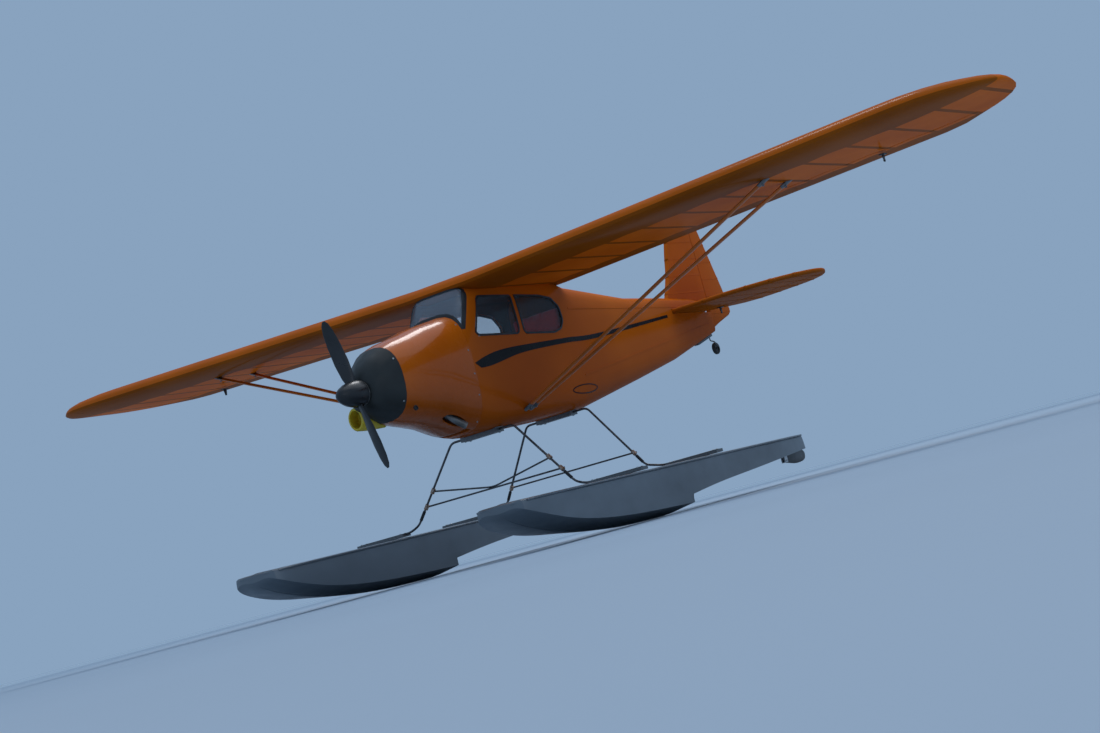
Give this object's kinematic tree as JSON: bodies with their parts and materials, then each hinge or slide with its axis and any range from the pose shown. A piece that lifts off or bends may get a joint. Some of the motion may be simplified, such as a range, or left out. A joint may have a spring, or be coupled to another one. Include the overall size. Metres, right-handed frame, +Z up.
{
  "type": "radio-controlled model floatplane",
  "caption": "Strut-braced high-wing model aeroplane on twin floats, with hinged control surfaces, a turning propeller, a castoring tail wheel and a water rudder that steers and kicks up.",
  "frame": {"origin": "on the floor under the middle of the aircraft's bounding box, on the centre line", "axes": "+X to the nose, +Y to port, along the wing span, +Z up"},
  "size_m": [1.328, 2, 0.5841],
  "materials": {
    "covering": "gloss",
    "cowl_paint": "gloss",
    "strut_paint": "gloss",
    "nose_grey": "satin",
    "black_plastic": "satin",
    "yellow_plastic": "satin",
    "engine_metal": "satin",
    "clear_glazing": "gloss",
    "floor_ply": "satin",
    "seat_cloth": "matte",
    "float_silver": "gloss",
    "steel_wire": "satin",
    "alloy": "satin",
    "tail_tyre": "matte"
  },
  "bodies": {
    "airframe": {"fuselage": "covering", "wing_centre": "covering", "wing_port": "covering", "wing_starboard": "covering", "fin": "covering", "tailplane": "covering", "cowl": "cowl_paint", "wing_strut_front_port": "strut_paint", "wing_strut_front_starboard": "strut_paint", "wing_strut_rear_port": "strut_paint", "wing_strut_rear_starboard": "strut_paint", "cowl_nose": "nose_grey", "nose_scoop": "yellow_plastic", "engine": "engine_metal", "windscreen": "clear_glazing", "door_window_port": "clear_glazing", "door_window_starboard": "clear_glazing", "rear_window_port": "clear_glazing", "rear_window_starboard": "clear_glazing", "cabin_floor": "floor_ply", "rear_seat": "seat_cloth", "float_port": "float_silver", "float_starboard": "float_silver", "gear_wire_front": "steel_wire", "gear_wire_rear": "steel_wire", "spreader_front": "steel_wire", "spreader_rear": "steel_wire", "tail_wheel_spring": "steel_wire", "gear_clamp_front": "alloy", "gear_clamp_rear": "alloy", "saddle_front_port": "alloy", "saddle_front_starboard": "alloy", "saddle_rear_port": "alloy", "saddle_rear_starboard": "alloy", "water_rudder_bracket": "alloy"},
    "propeller": {"propeller": "black_plastic", "spinner": "black_plastic"},
    "aileron_port": {"aileron_port": "covering"},
    "aileron_starboard": {"aileron_starboard": "covering"},
    "elevator": {"elevator": "covering"},
    "rudder": {"rudder": "covering"},
    "tail_wheel_fork": {"tail_wheel_leg": "steel_wire"},
    "tail_wheel": {"tail_wheel": "tail_tyre"},
    "water_rudder_post": {"water_rudder_post": "alloy"},
    "water_rudder_blade": {"water_rudder_blade": "black_plastic"}
  },
  "joints": [
    {"name": "propeller_spin", "type": "hinge", "parent": "airframe", "child": "propeller", "pos_m": [0.606, 0, 0.307], "axis": [1, 0, 0], "continuous": true},
    {"name": "aileron_port_tilt", "type": "hinge", "parent": "airframe", "child": "aileron_port", "pos_m": [0.094, 0.73, 0.47531], "axis": [0, 0.9995, 0.031], "range_deg": [-20, 20]},
    {"name": "aileron_starboard_tilt", "type": "hinge", "parent": "airframe", "child": "aileron_starboard", "pos_m": [0.094, -0.73, 0.47531], "axis": [0, 0.9995, -0.031], "range_deg": [-20, 20]},
    {"name": "elevator_tilt", "type": "hinge", "parent": "airframe", "child": "elevator", "pos_m": [-0.548, 0, 0.38], "axis": [0, 1, 0], "range_deg": [-20, 20]},
    {"name": "rudder_swing", "type": "hinge", "parent": "airframe", "child": "rudder", "pos_m": [-0.575, 0, 0.4], "axis": [0, 0, 1], "range_deg": [-25, 25]},
    {"name": "tail_wheel_steer", "type": "hinge", "parent": "airframe", "child": "tail_wheel_fork", "pos_m": [-0.552, 0, 0.308], "axis": [0, 0, 1], "range_deg": [-25, 25]},
    {"name": "tail_wheel_roll", "type": "hinge", "parent": "tail_wheel_fork", "child": "tail_wheel", "pos_m": [-0.567, 0, 0.299], "axis": [0, 1, 0], "continuous": true},
    {"name": "water_rudder_steer", "type": "hinge", "parent": "airframe", "child": "water_rudder_post", "pos_m": [-0.246, 0.247, 0.058], "axis": [0, 0, 1], "range_deg": [-25, 25]},
    {"name": "water_rudder_lower", "type": "hinge", "parent": "water_rudder_post", "child": "water_rudder_blade", "pos_m": [-0.249, 0.247, 0.04], "axis": [0, -1, 0], "range_deg": [0, 60]}
  ],
  "couplings": [
    {"joint": "aileron_starboard_tilt", "follows": "aileron_port_tilt", "ratio": -1},
    {"joint": "tail_wheel_steer", "follows": "rudder_swing", "ratio": 1},
    {"joint": "water_rudder_steer", "follows": "rudder_swing", "ratio": 1}
  ]
}
